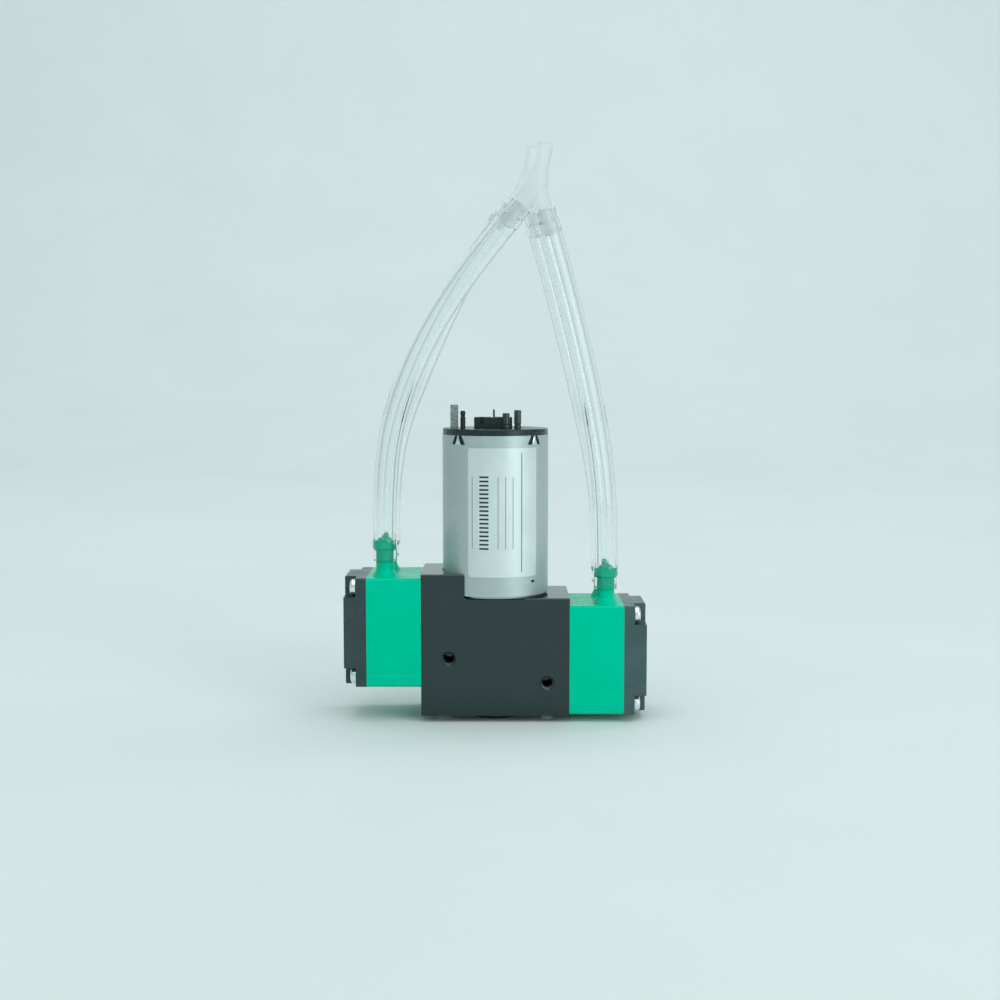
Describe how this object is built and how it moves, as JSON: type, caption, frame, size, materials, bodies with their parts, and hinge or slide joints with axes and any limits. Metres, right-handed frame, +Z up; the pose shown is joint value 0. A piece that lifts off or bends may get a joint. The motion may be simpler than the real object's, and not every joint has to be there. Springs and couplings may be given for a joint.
{
  "type": "medical diaphragm vacuum pump",
  "caption": "Brushless-motor diaphragm vacuum pump with opposed staggered heads, stepped crankcase and clear hoses joining at Y fittings above.",
  "frame": {"origin": "on the crank axis, in the plane of the foot face under the crankcase, which is the lowest plane of the pump", "axes": "+Z up along the crank and motor axis, +X from the higher head to the lower head, -Y towards the face with the two threaded holes"},
  "size_m": [0.1016, 0.036, 0.1939],
  "materials": {
    "black_alloy": "black anodised aluminium, satin",
    "green_plastic": "moulded green plastic, satin",
    "cover_plastic": "moulded dark grey plastic, fine grained",
    "screw_steel": "zinc plated",
    "plated_steel": "nickel plated deep-drawn sheet",
    "flange_alloy": "turned",
    "black_plastic": "moulded, dull",
    "clear_hose": "clear soft tube",
    "natural_plastic": "milky moulded plastic",
    "diaphragm_rubber": "moulded",
    "valve_rubber": "moulded silicone",
    "gasket_rubber": "cut sheet",
    "bearing_steel": "ground",
    "shaft_steel": "ground",
    "rod_alloy": "machined",
    "spacer_brass": "turned",
    "lamination": "stacked sheet",
    "copper_wire": "enamelled wire",
    "magnet_grey": "sintered",
    "board_green": "lacquered circuit board",
    "pin_tin": "tinned",
    "post_grey": "dull grey"
  },
  "bodies": {
    "pump": {"crankcase": "black_alloy", "bottom_cover": "black_alloy", "bottom_cover_screws": "screw_steel", "motor_mount_screws": "screw_steel", "tail_bearing_outer_ring": "bearing_steel", "motor_front_bearing_outer_ring": "bearing_steel", "motor_rear_bearing_outer_ring": "bearing_steel", "motor_front_flange": "flange_alloy", "motor_can": "plated_steel", "motor_end_cap": "black_plastic", "stator_core": "lamination", "stator_windings": "copper_wire", "sensor_board": "board_green", "position_sensors": "black_plastic", "connector_header": "black_plastic", "connector_pins": "pin_tin", "capacitors": "black_plastic", "terminal_post": "post_grey", "earth_pin": "pin_tin", "left_head_body": "green_plastic", "right_head_body": "green_plastic", "left_end_cover": "cover_plastic", "right_end_cover": "cover_plastic", "left_cover_gasket": "gasket_rubber", "right_cover_gasket": "gasket_rubber", "left_head_screws": "screw_steel", "right_head_screws": "screw_steel", "left_intake_valve": "valve_rubber", "right_intake_valve": "valve_rubber", "left_exhaust_valve": "valve_rubber", "right_exhaust_valve": "valve_rubber", "left_diaphragm": "diaphragm_rubber", "right_diaphragm": "diaphragm_rubber", "front_y_connector": "natural_plastic", "rear_y_connector": "natural_plastic", "left_front_hose": "clear_hose", "left_rear_hose": "clear_hose", "right_front_hose": "clear_hose", "right_rear_hose": "clear_hose"},
    "rotor": {"motor_shaft": "shaft_steel", "eccentric_hub": "shaft_steel", "hub_grub_screw": "screw_steel", "shaft_spacers": "spacer_brass", "tail_bearing_inner_ring": "bearing_steel", "motor_front_bearing_inner_ring": "bearing_steel", "motor_rear_bearing_inner_ring": "bearing_steel", "rotor_core": "lamination", "rotor_magnet": "magnet_grey", "left_rod_bearing_inner_ring": "bearing_steel", "right_rod_bearing_inner_ring": "bearing_steel"},
    "left_rod": {"left_connecting_rod": "rod_alloy", "left_rod_bearing_outer_ring": "bearing_steel", "left_clamp_disc": "rod_alloy", "left_clamp_screw": "screw_steel"},
    "right_rod": {"right_connecting_rod": "rod_alloy", "right_rod_bearing_outer_ring": "bearing_steel", "right_clamp_disc": "rod_alloy", "right_clamp_screw": "screw_steel"}
  },
  "joints": [
    {"name": "crank_spin", "type": "hinge", "parent": "pump", "child": "rotor", "pos_m": [0, 0, 0], "axis": [0, 0, 1], "continuous": true},
    {"name": "left_rod_orbit", "type": "hinge", "parent": "rotor", "child": "left_rod", "pos_m": [-0.0015, 0, 0.0304], "axis": [0, 0, 1], "continuous": true, "deforming": ["left_diaphragm"]},
    {"name": "right_rod_orbit", "type": "hinge", "parent": "rotor", "child": "right_rod", "pos_m": [0.0015, 0, 0.0211], "axis": [0, 0, 1], "continuous": true, "deforming": ["right_diaphragm"]}
  ],
  "couplings": [
    {"joint": "left_rod_orbit", "follows": "crank_spin", "ratio": -1},
    {"joint": "right_rod_orbit", "follows": "crank_spin", "ratio": -1}
  ]
}
